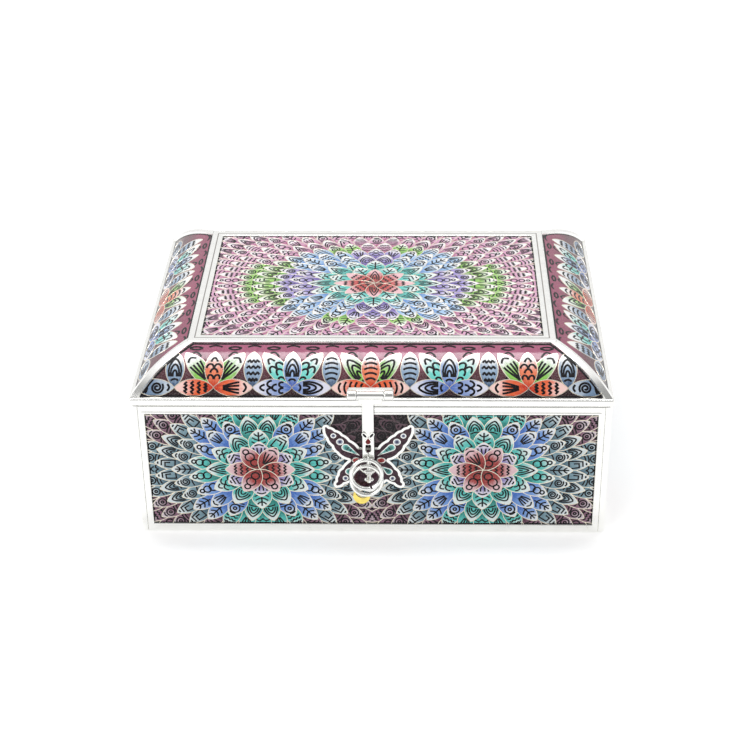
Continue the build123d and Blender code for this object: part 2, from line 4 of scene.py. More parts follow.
import bpy
import numpy as np
from mathutils import Matrix, Vector
from mathutils.geometry import delaunay_2d_cdt


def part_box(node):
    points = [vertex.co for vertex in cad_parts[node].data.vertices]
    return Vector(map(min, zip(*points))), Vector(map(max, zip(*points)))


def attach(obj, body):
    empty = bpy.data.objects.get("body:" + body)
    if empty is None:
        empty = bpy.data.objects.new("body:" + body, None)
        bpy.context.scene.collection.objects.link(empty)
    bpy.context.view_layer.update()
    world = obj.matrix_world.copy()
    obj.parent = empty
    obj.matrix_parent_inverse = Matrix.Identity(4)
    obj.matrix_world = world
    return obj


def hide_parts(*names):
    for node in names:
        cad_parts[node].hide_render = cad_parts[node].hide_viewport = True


# Flat drawings and sizes are in millimetres. A place function turns them into the frame's metres.
MM = 0.001
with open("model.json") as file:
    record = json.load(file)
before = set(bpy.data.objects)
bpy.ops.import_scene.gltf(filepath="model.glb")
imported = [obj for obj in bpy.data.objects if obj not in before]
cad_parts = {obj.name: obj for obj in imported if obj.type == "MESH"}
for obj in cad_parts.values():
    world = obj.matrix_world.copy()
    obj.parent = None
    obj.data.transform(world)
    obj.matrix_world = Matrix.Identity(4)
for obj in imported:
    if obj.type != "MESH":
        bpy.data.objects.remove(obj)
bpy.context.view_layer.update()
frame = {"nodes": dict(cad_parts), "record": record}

LONG_SIDES = ("front", "back")
SIDES = ("front", "back", "left", "right")


def box_of(node):
    """The low and high corners of a CAD node's box, in millimetres."""
    return [np.array(corner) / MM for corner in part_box(node)]


# Node graphs

def srgb(red, green, blue):
    """A colour as it looks on screen, 0 to 255, as the linear colour that shaders take."""
    shares = [c / 255 for c in (red, green, blue)]
    linear = [s / 12.92 if s <= 0.04045 else ((s + 0.055) / 1.055) ** 2.4 for s in shares]
    return (*linear, 1.0)


class Nodes:
    """A shader tree, and short calls for its nodes."""

    def __init__(self, tree):
        self.tree = tree
        tree.nodes.clear()

    def add(self, kind, inputs=None, **settings):
        node = self.tree.nodes.new("ShaderNode" + kind)
        for name, value in settings.items():
            setattr(node, name, value)
        for key, value in (inputs or {}).items():
            self.feed(node.inputs[key], value)
        return node

    def feed(self, socket, value):
        if isinstance(value, bpy.types.NodeSocket):
            self.tree.links.new(value, socket)
        else:
            socket.default_value = value

    def math(self, operation, first, second=0.0):
        return self.add("Math", {0: first, 1: second}, operation=operation).outputs[0]

    def spread(self, value, low, high, out_low=0.0, out_high=1.0, smooth=False):
        kind = "SMOOTHSTEP" if smooth else "LINEAR"
        inputs = {0: value, 1: low, 2: high, 3: out_low, 4: out_high}
        return self.add("MapRange", inputs, interpolation_type=kind).outputs[0]

    def seen_ray(self):
        """1 for camera, glossy and transmission rays, which see the white background, and 0 for the rest."""
        path = self.add("LightPath").outputs
        bounced = self.math("MAXIMUM", path["Is Glossy Ray"], path["Is Transmission Ray"])
        return self.math("MAXIMUM", path["Is Camera Ray"], bounced)


class Graph(Nodes):
    """A material with one Principled shader."""

    def __init__(self, name):
        self.material = bpy.data.materials.new(name)
        self.material.use_nodes = True
        super().__init__(self.material.node_tree)
        self.shader = self.add("BsdfPrincipled")
        self.add("OutputMaterial", {"Surface": self.shader.outputs[0]})

    def set(self, **values):
        """Inputs of the shader, with spaces in their names written as underscores."""
        for name, value in values.items():
            self.feed(self.shader.inputs[name.replace("_", " ")], value)

    def place(self):
        return self.add("TexCoord").outputs["Object"]

    def noise(self, scale, detail=3.0, vector=None, roughness=0.5):
        vector = vector or self.place()
        inputs = {"Vector": vector, "Scale": scale, "Detail": detail, "Roughness": roughness}
        return self.add("TexNoise", inputs).outputs[0]

    def mix(self, share, first, second):
        return self.add("Mix", {0: share, 6: first, 7: second}, data_type="RGBA").outputs[2]

    def bump(self, height, distance, strength):
        return self.add("Bump", {"Height": height, "Distance": distance, "Strength": strength}).outputs[0]

    def attribute(self, name, output="Color"):
        return self.add("Attribute", attribute_name=name).outputs[output]


# Materials. Noise scales are per metre.

def shade(tone, share):
    return tuple(c * share for c in tone[:3]) + (1.0,)


def silver_material(name, tone, shine):
    """Polished silver plate: fine polishing marks, faint clouding and slightly dulled patches."""
    g = Graph(name)
    place = g.place()
    cloud = g.noise(220.0, 4.0, place)
    marks = g.noise(2600.0, 2.0, place, 0.6)
    g.set(Base_Color=g.mix(g.spread(cloud, 0.35, 0.7), tone, shade(tone, 0.93)), Metallic=1.0)
    g.set(Roughness=g.spread(g.math("ADD", cloud, g.math("MULTIPLY", marks, 0.4)), 0.4, 0.95,
                             shine, shine + 0.12))
    g.set(Normal=g.bump(g.math("ADD", marks, cloud), 0.00002, 0.07))
    return g


GROOVE_SHADE_EDGES = (0.00012, 0.0003)


def painted_groove_shade(g, tone, window, distance):
    """A fine dark line round a window, at a distance from its edge, in metres: painted shade of a groove,
    which the mesh does not have.
    """
    x, y, _ = g.add("SeparateXYZ", {0: g.place()}).outputs
    out_x = g.math("SUBTRACT", g.math("ABSOLUTE", x), window[0])
    out_y = g.math("SUBTRACT", g.math("ABSOLUTE", y), window[1])
    away = g.math("ABSOLUTE", g.math("SUBTRACT", g.math("MAXIMUM", out_x, out_y), distance))
    # Painted shade: the plate's colour darkened along the line, with no groove cut.
    depth = g.spread(away, *GROOVE_SHADE_EDGES, 1.0, 0.0, smooth=True)
    plain = g.shader.inputs["Base Color"].links[0].from_socket
    g.set(Base_Color=g.mix(depth, plain, tone))


def metal_material(name, tone, low, high, scale):
    """Plain steel, brass or gilt with stains."""
    g = Graph(name)
    stain = g.noise(scale, 5.0)
    g.set(Base_Color=g.mix(g.spread(stain, 0.3, 0.75), tone, shade(tone, 0.75)), Metallic=1.0)
    g.set(Roughness=g.spread(stain, 0.3, 0.7, low, high))
    g.set(Normal=g.bump(g.noise(3000.0, 2.0), 0.00002, 0.3))
    return g.material


PETAL_STOPS = ("petal_base", "petal_middle", "petal_tip")


def petal_material(name, gloss):
    """Fired enamel: each petal runs from a deep base through its colour to a pale tip."""
    g = Graph(name)
    along, across, seed = g.add("SeparateXYZ", {0: g.attribute("petal_place", "Vector")}).outputs
    stretched = {0: g.math("MULTIPLY", along, 1.6), 1: g.math("MULTIPLY", across, 4.5), 2: seed}
    stretched = g.add("CombineXYZ", stretched).outputs[0]
    streak = g.noise(1.0, 3.0, stretched, 0.6)
    cloud = g.noise(700.0, 3.0)
    drift = g.math("ADD", g.spread(streak, 0.2, 0.8, -0.16, 0.16), g.spread(cloud, 0.2, 0.8, -0.07, 0.07))
    reach = g.math("ADD", along, drift)
    base, middle, tip = (g.attribute(stop) for stop in PETAL_STOPS)
    colour = g.mix(g.spread(reach, 0.02, 0.38, smooth=True), base, middle)
    colour = g.mix(g.spread(reach, 0.42, 0.84, smooth=True), colour, tip)
    side = g.math("ABSOLUTE", across)
    rim = g.math("MULTIPLY", g.spread(side, 0.45, 1.0), g.spread(reach, 1.0, 0.3, 0.04, 0.3))
    colour = g.mix(rim, colour, base)
    grain = g.noise(2400.0, 2.0)
    colour = g.mix(g.spread(grain, 0.45, 0.75, 0.0, 0.12), colour, srgb(245, 245, 245))
    g.set(Base_Color=colour, IOR=gloss)
    g.set(Roughness=g.spread(cloud, 0.3, 0.7, 0.05, 0.13))
    g.set(Normal=g.bump(g.math("ADD", cloud, g.math("MULTIPLY", grain, 0.2)), 0.00006, 0.4))
    return g.material


def mottled_material(name, first, second, scale, detail, rough_noise, share, roughness, relief, ior=1.5):
    """Two colours mixed by one noise, which also varies the roughness and the relief."""
    g = Graph(name)
    pattern = g.noise(scale, detail, roughness=rough_noise)
    g.set(Base_Color=g.mix(g.spread(pattern, *share), first, second), IOR=ior)
    g.set(Roughness=g.spread(pattern, 0.3, 0.7, *roughness))
    g.set(Normal=g.bump(pattern, *relief))
    return g.material


def velvet_material(name, deep, light, pile):
    """Short pile that catches light at grazing angles, brushed in soft patches."""
    g = Graph(name)
    brushed = g.noise(60.0, 3.0)
    fibre = g.noise(pile, 2.0)
    share = g.math("ADD", g.spread(brushed, 0.35, 0.65, 0.0, 0.6), g.spread(fibre, 0.3, 0.7, 0.0, 0.4))
    g.set(Base_Color=g.mix(share, deep, light), Roughness=0.9)
    g.set(Sheen_Weight=0.8, Sheen_Roughness=0.35, Sheen_Tint=light)
    g.set(Normal=g.bump(fibre, 0.00015, 0.6))
    return g.material


SILVER_TONE = srgb(246, 246, 243)
SILVER = silver_material("silver_plate", SILVER_TONE, 0.16).material
FITTING = silver_material("silver_fitting", srgb(243, 243, 240), 0.12).material
WIRE = silver_material("cell_wire", srgb(238, 230, 212), 0.22).material
# Silver wire darkened to stand for the hasp's shadow: painted shadow on the wires of those petals.
WIRE_IN_PAINTED_SHADOW = silver_material("wire_darkened_as_painted_shadow", srgb(112, 94, 100), 0.3).material
TOP_SILVER = silver_material("silver_plate_with_painted_groove_shade", SILVER_TONE, 0.16)
STEEL = metal_material("steel_wire", srgb(190, 190, 190), 0.25, 0.4, 400.0)
BRASS = metal_material("plain_brass", srgb(200, 172, 118), 0.35, 0.5, 120.0)
GILT = metal_material("bright_gilt", srgb(246, 222, 120), 0.12, 0.22, 500.0)
CASE_ENAMEL = petal_material("case_petal_enamel", 1.32)
LID_ENAMEL = petal_material("lid_petal_enamel", 1.52)
LINE = mottled_material("black_line", srgb(20, 18, 22), srgb(52, 46, 52), 1500.0, 3.0, 0.5,
                        (0.5, 0.8, 0.0, 0.5), (0.15, 0.35), (0.00003, 0.4), 1.3)
VEINED = (1300.0, 6.0, 0.7, (0.42, 0.62), (0.08, 0.2), (0.00005, 0.5), 1.35)
PLUM = mottled_material("dark_plum_enamel", srgb(46, 22, 34), srgb(88, 58, 72), *VEINED)
DROP_RED = mottled_material("deep_red_enamel", srgb(84, 8, 12), srgb(150, 26, 28), *VEINED)
VELVET = velvet_material("burgundy_velvet", srgb(58, 12, 30), srgb(116, 40, 66), 5000.0)
FELT = velvet_material("dark_felt", srgb(34, 20, 26), srgb(60, 42, 48), 2500.0)
BOARD = mottled_material("stiff_board", srgb(150, 128, 104), srgb(178, 158, 132), 900.0, 6.0, 0.7,
                         (0.35, 0.65), (0.85, 0.85), (0.0001, 0.5))
SLOT_MATERIALS = dict(
    silver_frame=SILVER, silver_fittings=FITTING, steel_pin=STEEL, core_metal=BRASS, case_enamel=CASE_ENAMEL,
    lid_enamel=LID_ENAMEL, dark_enamel=PLUM, jewel_enamel=LID_ENAMEL, gilt=GILT, velvet=VELVET, felt=FELT,
    board=BOARD,
)
EDGE_ROUNDS = {"lid_top_frame": 0.3, "butterfly_plate": 0.2}
WELD_DISTANCE = 0.000002


def round_edges(piece, width):
    """Softens the sharp edges of a CAD node by modifiers."""
    weld = piece.modifiers.new("weld", "WELD")
    weld.merge_threshold = WELD_DISTANCE
    bevel = piece.modifiers.new("edge_round", "BEVEL")
    bevel.width = width * MM
    bevel.segments = 2
    bevel.limit_method = "ANGLE"
    bevel.angle_limit = math.radians(40)
    bevel.harden_normals = True


def finish_cad_nodes():
    for part in frame["record"]["subparts"]:
        piece = frame["nodes"][part["node"]]
        piece.data.materials.clear()
        piece.data.materials.append(SLOT_MATERIALS[part["material_slot"]])
        if part["node"] in EDGE_ROUNDS:
            round_edges(piece, EDGE_ROUNDS[part["node"]])


# Meshes

def add_object(name, data):
    thing = bpy.data.objects.new(name, data)
    bpy.context.scene.collection.objects.link(thing)
    return thing


def new_piece(name, vertices, faces, material, body, smooth=False):
    """A mesh of points in metres, riding on a body."""
    mesh = bpy.data.meshes.new(name)
    mesh.from_pydata([tuple(v) for v in vertices], [], [tuple(int(i) for i in f) for f in faces])
    mesh.update()
    mesh.materials.append(material)
    if smooth:
        mesh.shade_smooth()
    piece = add_object(name, mesh)
    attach(piece, body)
    return piece


def unit(vectors):
    length = np.linalg.norm(vectors, axis=-1, keepdims=True)
    return vectors / np.maximum(length, 1e-9)


RIDGE_SINK = 0.04
RIDGE_FLAT = 0.56


def ridge(name, paths, size, place, material, body):
    """Raised lines of trapezoid section. A path that ends where it starts is a loop."""
    width, height = size
    vertices = []
    faces = []
    section = ((-0.5, -RIDGE_SINK), (-RIDGE_FLAT / 2, height), (RIDGE_FLAT / 2, height), (0.5, -RIDGE_SINK))
    for path in paths:
        path = np.asarray(path, float)
        closed = len(path) > 3 and np.allclose(path[0], path[-1], atol=1e-6)
        if closed:
            path = path[:-1]
        ahead = unit(np.roll(path, -1, 0) - path)
        behind = np.roll(ahead, 1, 0)
        if not closed:
            ahead[-1] = ahead[-2]
            behind[0] = ahead[0]
        left_ahead, left_behind = (np.stack([-way[:, 1], way[:, 0]], 1) for way in (ahead, behind))
        left = unit(left_ahead + left_behind)
        stretch = 1 / np.maximum((left * left_ahead).sum(1), 0.5)
        first = len(vertices)
        count = len(path)
        rings = [place(path + left * (stretch * offset * width)[:, None], lift) for offset, lift in section]
        vertices.extend(np.stack(rings, 1).reshape(-1, 3))
        corners = len(section)
        for i in range(count if closed else count - 1):
            here = first + i * corners
            there = first + (i + 1) % count * corners
            for k in range(corners):
                n = (k + 1) % corners
                faces.append((here + k, there + k, there + n, here + n))
        if not closed:
            last = first + (count - 1) * corners
            faces.append([first + k for k in range(corners)])
            faces.append([last + k for k in reversed(range(corners))])
    return new_piece(name, vertices, faces, material, body)


# Flat drawings of petals

PETAL_STEPS = 9
PETAL_SEED_STEP = 0.37
PETAL_FULLNESS = 0.8
COVER_TOLERANCE = 0.002
CROSSING_STEPS = 9
SHORTEST_RUN = 0.25


class Petal:
    """A leaf with pointed ends, from base to tip, and its three colours."""

    def __init__(self, base, tip, width, colours, motif=0, shown_from=0.0):
        self.base = np.array(base, float)
        self.width = width
        self.colours = colours
        self.motif = motif
        self.shown_from = shown_from
        reach = np.array(tip, float) - self.base
        self.length = np.linalg.norm(reach)
        self.along = reach / self.length
        self.across = np.array((-self.along[1], self.along[0]))

    def half_width(self, share):
        share = np.clip(share, 0, 1)
        return self.width / 2 * (4 * share * (1 - share)) ** PETAL_FULLNESS

    def point(self, share, side):
        """Points at shares of the length, and at shares of the half width there."""
        share, side = np.broadcast_arrays(np.asarray(share, float), np.asarray(side, float))
        out = (side * self.half_width(share))[..., None] * self.across
        return self.base + (share * self.length)[..., None] * self.along + out

    def shown(self, share):
        """Share of the whole petal, from a share of the part that the next ring leaves open."""
        return self.shown_from + (1 - self.shown_from) * np.asarray(share, float)

    def mark(self, share, side):
        return self.point(self.shown(share), side)

    def side_line(self, side, steps):
        share = 0.5 - 0.5 * np.cos(np.linspace(0, math.pi, steps + 1))
        return self.point(share, side)

    def outline(self):
        right = self.side_line(-1, PETAL_STEPS)
        left = self.side_line(1, PETAL_STEPS)[::-1]
        return np.vstack([right, left[1:-1]])

    def place_of(self, points, seed):
        """Share along, share across and the seed, which stay exact over any triangle."""
        offset = points - self.base
        along = (offset @ self.along / self.length - self.shown_from) / (1 - self.shown_from)
        across = offset @ self.across / (self.width / 2)
        return np.stack([along, across, np.full(len(points), seed)], 1)


class Drawing:
    """Petals on a flat panel, from the lowest to the topmost."""

    def __init__(self, outline, on_panel, ground, cuts=()):
        self.outline = np.array(outline, float)
        self.on_panel = on_panel
        self.ground = ground
        self.cuts = cuts
        self.petals = []

    def settle(self):
        for name in ("base", "along", "length", "width"):
            setattr(self, name, np.array([getattr(petal, name) for petal in self.petals]))

    def covered(self, points, first):
        """Whether any petal from number first upwards lies over each point."""
        offset = points[:, None, :] - self.base[None, first:]
        along = self.along[first:]
        share = (offset * along).sum(2) / self.length[first:]
        out = offset[..., 1] * along[:, 0] - offset[..., 0] * along[:, 1]
        inner = np.clip(4 * share * (1 - share), 0, None) ** PETAL_FULLNESS * self.width[first:] / 2
        return (np.abs(out) < inner - COVER_TOLERANCE).any(1)

    def is_open(self, points, first):
        points = np.atleast_2d(points)
        return ~self.covered(points, first) & self.on_panel(points)

    def crossing(self, here, there, first, state):
        """The point between two where a path goes under a petal or off the panel, or comes back."""
        for _ in range(CROSSING_STEPS):
            middle = (here + there) / 2
            if self.is_open(middle, first)[0] == state:
                here = middle
            else:
                there = middle
        return (here + there) / 2

    def open_runs(self, path, first):
        """The stretches of a path that lie on the panel, with no petal over them."""
        state = self.is_open(path, first)
        runs = []
        run = []
        for i, point in enumerate(path):
            if i and state[i] != state[i - 1]:
                run.append(self.crossing(path[i - 1], point, first, state[i - 1]))
                if state[i - 1]:
                    runs.append(run)
                    run = []
            if state[i]:
                run.append(point)
        runs.append(run)
        runs = [np.array(r) for r in runs if len(r) > 1]
        return [r for r in runs if np.linalg.norm(np.diff(r, axis=0), axis=1).sum() > SHORTEST_RUN]

    def wires(self, dark):
        """Wires along the petals' open edges: those of the petals darkened as painted shadow, or those of
        the rest.
        """
        return [run for number, petal in enumerate(self.petals) if (petal.colours is PAINTED_HASP_SHADOW) == dark
                for side in (-1, 1)
                for run in self.open_runs(petal.side_line(side, 2 * PETAL_STEPS), number + 1)]

    def lines(self):
        return [run for number, petal in enumerate(self.petals)
                for path in MOTIFS[petal.motif % len(MOTIFS)](petal)
                for run in self.open_runs(path, number + 1)]

    def triangles(self):
        """The panel cut along every outline: points, triangles and the topmost petal of each, or -1."""
        points = [Vector(p) for p in self.outline]
        faces = [list(range(len(points)))]
        for petal in self.petals:
            ring = petal.outline()
            faces.append(list(range(len(points), len(points) + len(ring))))
            points += [Vector(p) for p in ring]
        found = delaunay_2d_cdt(points, list(self.cuts), faces, 1, 1e-5)
        kept = [(face, max(origin) - 1) for face, origin in zip(found[2], found[5]) if 0 in origin]
        corners, owners = (np.array(part) for part in zip(*kept))
        flat = np.array([tuple(p) for p in found[0]])
        edge_a = flat[corners[:, 1]] - flat[corners[:, 0]]
        edge_b = flat[corners[:, 2]] - flat[corners[:, 0]]
        turned = edge_a[:, 0] * edge_b[:, 1] - edge_a[:, 1] * edge_b[:, 0] < 0
        corners[turned] = corners[turned][:, ::-1]
        return flat, corners, owners


def paint(piece, places, stops):
    """Stores the place in its petal and the three colours at every corner of a piece's faces."""
    vector = piece.data.attributes.new("petal_place", "FLOAT_VECTOR", "CORNER")
    vector.data.foreach_set("vector", np.asarray(places, np.float32).ravel())
    for name, colours in zip(PETAL_STOPS, stops):
        layer = piece.data.attributes.new(name, "FLOAT_COLOR", "CORNER")
        layer.data.foreach_set("color", np.asarray(colours, np.float32).ravel())


def enamel_plate(name, drawing, place, thickness, body, slot, mirrored=False):
    """A closed plate whose face is the drawing's triangles, each coloured by its topmost petal."""
    flat, corners, owners = drawing.triangles()
    places = np.zeros((len(corners), 3, 3))
    colours = np.zeros((3, len(corners), 4))
    for owner in set(owners):
        petal = drawing.petals[owner] if owner >= 0 else drawing.ground
        chosen = np.nonzero(owners == owner)[0]
        at = flat[corners[chosen]].reshape(-1, 2)
        places[chosen] = petal.place_of(at, owner * PETAL_SEED_STEP).reshape(-1, 3, 3)
        colours[:, chosen] = np.array(petal.colours)[:, None]
    if mirrored:
        corners = np.vstack([corners, corners[:, ::-1] + len(flat)])
        flat = np.vstack([flat, flat * (-1, 1)])
        places = np.concatenate([places, places[:, ::-1]])
        colours = np.concatenate([colours, colours], axis=1)
    used, corners = np.unique(corners, return_inverse=True)
    flat, renumbered = np.unique(np.round(flat[used], 4), axis=0, return_inverse=True)
    corners = renumbered.reshape(-1)[corners.reshape(-1, 3)]
    count = len(flat)
    points = np.vstack([place(flat, 0.0), place(flat, -thickness)])
    faces = [tuple(c) for c in corners] + [tuple(c[::-1] + count) for c in corners]
    directed = {(c[i], c[(i + 1) % 3]): (n, i) for n, c in enumerate(corners) for i in range(3)}
    skirt = []
    for (a, b), (n, i) in directed.items():
        if (b, a) not in directed:
            faces.append((b, a, a + count, b + count))
            skirt.append((n, i))
    piece = new_piece(name, points, faces, SLOT_MATERIALS[slot], body)
    skirt_places = [places[n][[(i + 1) % 3, i, i, (i + 1) % 3]] for n, i in skirt]
    all_places = np.concatenate([places.reshape(-1, 3), places[:, ::-1].reshape(-1, 3), *skirt_places])
    whose = [*range(len(corners))] * 2 + [n for n, _ in skirt]
    paint(piece, all_places, np.repeat(colours[:, whose], [len(f) for f in faces], axis=1))
    return piece


# Linework inside a petal. Each motif gives paths over the shown part, from 0 at its base to 1 at its tip.

BEND = np.linspace(-1, 1, 9)
RUN = np.linspace(0, 1, 9)


def across(p, share, reach=0.72, bow=0.05):
    """A bowed bar across the petal."""
    return p.mark(share + bow * (1 - BEND ** 2), reach * BEND)


def around(p, share, grip, turns=1.0, start=0.0, inner=1.0):
    """A ring or a scroll about a point on the midrib, as a share of the half width there."""
    s = np.linspace(0, 1, max(int(16 * turns), 9))
    radius = p.half_width(p.shown(share)) * grip * (inner + (1 - inner) * s)
    angle = 2 * math.pi * (turns * s + start)
    turned = np.stack([radius * np.cos(angle), radius * np.sin(angle)], 1)
    return p.mark(share, 0) + turned @ np.stack([p.along, p.across])


def veins(p):
    paths = [p.mark(0.14 + 0.72 * RUN, 0 * RUN)]
    for start in (0.26, 0.46, 0.66):
        paths += [p.mark(start + 0.13 * RUN ** 1.5, side * 0.7 * RUN) for side in (-1, 1)]
    return paths


def bars(p):
    return [across(p, share) for share in (0.2, 0.34, 0.48, 0.62, 0.76)]


def scroll(p):
    return [around(p, 0.56, 0.74, 2.0, 0.1, 0.14), across(p, 0.82, 0.6), across(p, 0.26, 0.8)]


def echo(p):
    outer = p.mark(0.86 - 0.62 * BEND ** 2, 0.66 * BEND)
    inner = p.mark(0.66 - 0.40 * BEND ** 2, 0.34 * BEND)
    return [outer, inner, p.mark(0.30 + 0.14 * RUN, 0 * RUN)]


def target(p):
    return [around(p, 0.56, 0.62), around(p, 0.56, 0.2), across(p, 0.78, 0.62), across(p, 0.30, 0.8),
            across(p, 0.18, 0.7)]


def rays(p):
    fan = [p.mark(0.24 + 0.42 * RUN, side * (0.25 + 0.6 * RUN)) for side in (-0.8, -0.3, 0.3, 0.8)]
    return fan + [across(p, 0.76, 0.66, 0.07)]


def ripples(p):
    s = np.linspace(-1, 1, 17)
    return [p.mark(share + 0.03 * np.cos(3 * math.pi * s), 0.74 * s) for share in (0.2, 0.37, 0.54, 0.71)]


def fret(p):
    """A square scroll."""
    half = 0.6
    shares = [0.74, 0.74, 0.22, 0.22, 0.60, 0.60, 0.40]
    return [p.mark(shares, [-half, half, half, -half, -half, 0.14, 0.14]), across(p, 0.86, 0.4, 0.02)]


def arches(p):
    """Nested arches that open towards the base."""
    angle = np.linspace(0, math.pi, 11)
    along, out = 0.62 * np.sin(angle), 0.92 * np.cos(angle)
    return [p.mark(0.28 + size * along, size * out) for size in (0.28, 0.54, 0.8)] + [across(p, 0.17, 0.6)]


def beads(p):
    return [around(p, 0.30, 0.5), around(p, 0.56, 0.5), around(p, 0.78, 0.42)]


def scales(p):
    """Rows of small arches, each set over the gap of the row before."""
    angle = np.linspace(0.1, math.pi - 0.1, 9)
    rows = ((0.2, (-0.42, 0.42)), (0.37, (0.0,)), (0.5, (-0.42, 0.42)), (0.68, (0.0,)))
    along, out = 0.13 * np.sin(angle), 0.4 * np.cos(angle)
    return [p.mark(share + along, side + out) for share, sides in rows for side in sides]


MOTIFS = (scroll, bars, fret, arches, echo, scales, target, rays, beads, ripples, veins)


# Colours of petals: base, middle and tip

WHITE = srgb(255, 255, 255)
RED = (srgb(134, 30, 24), srgb(200, 60, 54), srgb(248, 198, 206))
CASE_RED = (srgb(108, 26, 24), srgb(174, 60, 56), srgb(242, 206, 212))
ORANGE = (srgb(196, 48, 16), srgb(238, 104, 54), srgb(253, 214, 206))
TEAL = (srgb(38, 140, 132), srgb(92, 206, 198), srgb(240, 251, 250))
LAVENDER = (srgb(66, 54, 124), srgb(146, 132, 194), srgb(240, 236, 247))
CORNFLOWER = (srgb(70, 116, 200), srgb(126, 168, 232), srgb(240, 246, 251))
SLATE = (srgb(72, 104, 120), srgb(128, 160, 174), srgb(232, 241, 243))
PLUM_PETAL = (srgb(88, 50, 68), srgb(144, 104, 126), srgb(222, 208, 216))
# Near black: painted shadow of the hasp on the case's front.
PAINTED_HASP_SHADOW = (srgb(14, 4, 8), srgb(34, 14, 22), srgb(92, 62, 76))
PINK = (srgb(176, 88, 132), srgb(224, 166, 200), srgb(255, 250, 253))
GREEN = (srgb(74, 152, 34), srgb(154, 212, 96), srgb(251, 254, 246))
PURPLE = (srgb(96, 72, 164), srgb(166, 152, 216), srgb(250, 248, 254))
SKY = (srgb(96, 148, 214), srgb(172, 208, 244), srgb(252, 254, 255))
BUD = (srgb(58, 84, 118), srgb(150, 176, 204), WHITE)
FAN_TEAL = (srgb(20, 150, 140), srgb(110, 218, 208), WHITE)
FAN_GREEN = (srgb(40, 122, 18), srgb(140, 204, 80), WHITE)
FAN_ORANGE = (srgb(204, 60, 16), srgb(240, 128, 84), WHITE)
FAN_BLUE = (srgb(70, 96, 176), srgb(150, 182, 226), WHITE)
OVAL_BLUE = (srgb(74, 110, 190), srgb(150, 170, 216), srgb(230, 230, 244))
OVAL_SLATE = (srgb(58, 80, 108), srgb(120, 146, 176), srgb(196, 208, 222))
# The rose tips of these grounds, at the head of each slope, are partly the enamel's colour and partly
# painted reflection of the light overhead.
MAROON = (srgb(36, 4, 14), srgb(84, 12, 36), srgb(176, 88, 122))
SIDE_MAROON = (srgb(40, 2, 14), srgb(100, 8, 42), srgb(152, 58, 94))


# Rings of petals: base radius, tip radius, count, whether turned by half a step, hidden share

PETAL_OVERLAP = 1.12
RING_STEP = 5.5
RING_DEPTH = 12.5
RING_HIDDEN = 0.3
RING_MORE = 8


def ring_table(core, reach):
    """The inner rings as given, then even ones, each with more petals, until they pass a reach."""
    rings = list(core)
    while rings[-1][0] < reach:
        base, _, count, turned, _ = rings[-1]
        start = base + RING_STEP
        rings.append((start, start + RING_DEPTH, count + RING_MORE, not turned, RING_HIDDEN))
    return rings


def add_rings(drawing, centre, core, size, colour_of):
    """Rings of petals round a centre, the outermost first. The size is their reach and their stretch."""
    reach, stretch = size
    rings = ring_table(core, reach)
    for number in reversed(range(len(rings))):
        base_radius, tip_radius, count, turned, hidden = rings[number]
        angles = [2 * math.pi * (i + turned / 2) / count for i in range(count)]
        middle = (base_radius + tip_radius) / 2
        at = np.array([(stretch * math.cos(a), math.sin(a)) for a in angles])
        gaps = np.linalg.norm(at - np.roll(at, 1, 0), axis=1)
        gaps = (gaps + np.roll(gaps, -1)) / 2
        for angle, direction, gap in zip(angles, at, gaps):
            key = number * 3 + round(9 * abs(math.cos(angle))) + round(4 * abs(math.sin(angle)))
            tip = centre + direction * tip_radius
            colours = colour_of(number, angle, tip, tip - centre)
            base = centre + direction * base_radius
            drawing.petals.append(Petal(base, tip, PETAL_OVERLAP * middle * gap, colours, key, hidden))


def box_drawing(x0, x1, y0, y1):
    """An empty drawing on a rectangle."""
    def on_panel(points):
        return ((points > (x0, y0)) & (points < (x1, y1))).all(1)
    ground = Petal((x0, y0), (x0, y1), 2 * (x1 - x0), PLUM_PETAL)
    return Drawing([(x0, y0), (x1, y0), (x1, y1), (x0, y1)], on_panel, ground)


def border_path(x0, x1, y0, y1, inset=0.2):
    """A closed rectangle, a little inside or outside a panel's edge."""
    x0, x1, y0, y1 = x0 + inset, x1 - inset, y0 + inset, y1 - inset
    return np.array([(x0, y0), (x1, y0), (x1, y1), (x0, y1), (x0, y0)])


def mirror_paths(paths):
    return paths + [p * (-1, 1) for p in paths]


# Raised lines: width and height
WIRE_SIZE = (0.34, 0.07)
LINE_SIZE = (0.8, 0.035)
SLOPE_LINE_SIZE = (1.05, 0.035)
EDGE_LINE_SIZE = (1.0, 0.035)
BEAD_SIZE = (1.1, 0.2)
CELL_RIM_SIZE = (0.5, 0.36)
FLECK_SIZE = (0.45, 0.46)


def dress_panel(node, drawing, place, thickness, extra_lines, mirrored=False, line_size=LINE_SIZE):
    """The enamel plate, its wires and its linework, in the place of one CAD node."""
    body, slot = ("lid", "lid_enamel") if node.startswith("lid") else ("chest", "case_enamel")
    drawing.settle()
    plate = enamel_plate(node + "_petals", drawing, place, thickness, body, slot, mirrored)
    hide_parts(node)
    wires, dark_wires, lines = drawing.wires(False), drawing.wires(True), drawing.lines()
    if mirrored:
        wires, dark_wires, lines = (mirror_paths(paths) for paths in (wires, dark_wires, lines))
    pieces = (
        ("_dark_wires", dark_wires, WIRE_SIZE, WIRE_IN_PAINTED_SHADOW),
        ("_lines", lines + extra_lines, line_size, LINE),
        ("_wires", wires, WIRE_SIZE, WIRE),
    )
    for ending, paths, size, material in pieces:
        if paths:
            ridge(node + ending, paths, size, place, material, body)


# Where the flat drawings go

def turn_to_side(side, a, out, z):
    """Points on a side: a runs to the right seen from outside, out is the distance from the middle."""
    out = np.broadcast_to(out, a.shape)
    x, y = {"front": (a, -out), "back": (-a, out), "left": (-out, -a), "right": (out, a)}[side]
    return np.stack([x, y, z], 1) * MM


def face_of(node, side):
    """How far a CAD node reaches from the middle towards a side."""
    low, high = box_of(node)
    axis = 1 if side in LONG_SIDES else 0
    return -low[axis] if side in ("front", "left") else high[axis]


def flat_place(side, face):
    return lambda points, lift: turn_to_side(side, points[:, 0], face + lift, points[:, 1])
